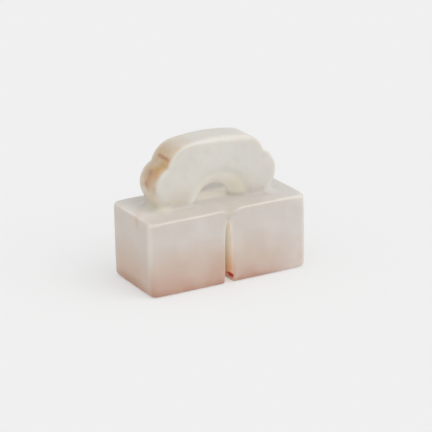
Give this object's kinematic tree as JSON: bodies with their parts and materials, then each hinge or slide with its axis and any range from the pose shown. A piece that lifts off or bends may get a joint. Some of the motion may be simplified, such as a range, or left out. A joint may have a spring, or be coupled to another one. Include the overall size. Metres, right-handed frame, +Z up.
{
  "type": "jade double seal",
  "caption": "Conjoined seals carved from one piece of pale jade: square blocks parted by a narrow groove, under a cloud-shaped knob with a flared, arched cord hole.",
  "frame": {"origin": "middle of the underside, on the surface that the seal faces stand on", "axes": "+X along the row of seals, +Y to the back, +Z up to the knob"},
  "size_m": [0.04, 0.0196, 0.0328],
  "materials": {
    "jade": "waxy polish"
  },
  "bodies": {
    "root": {"double_seal": "jade"}
  },
  "joints": []
}
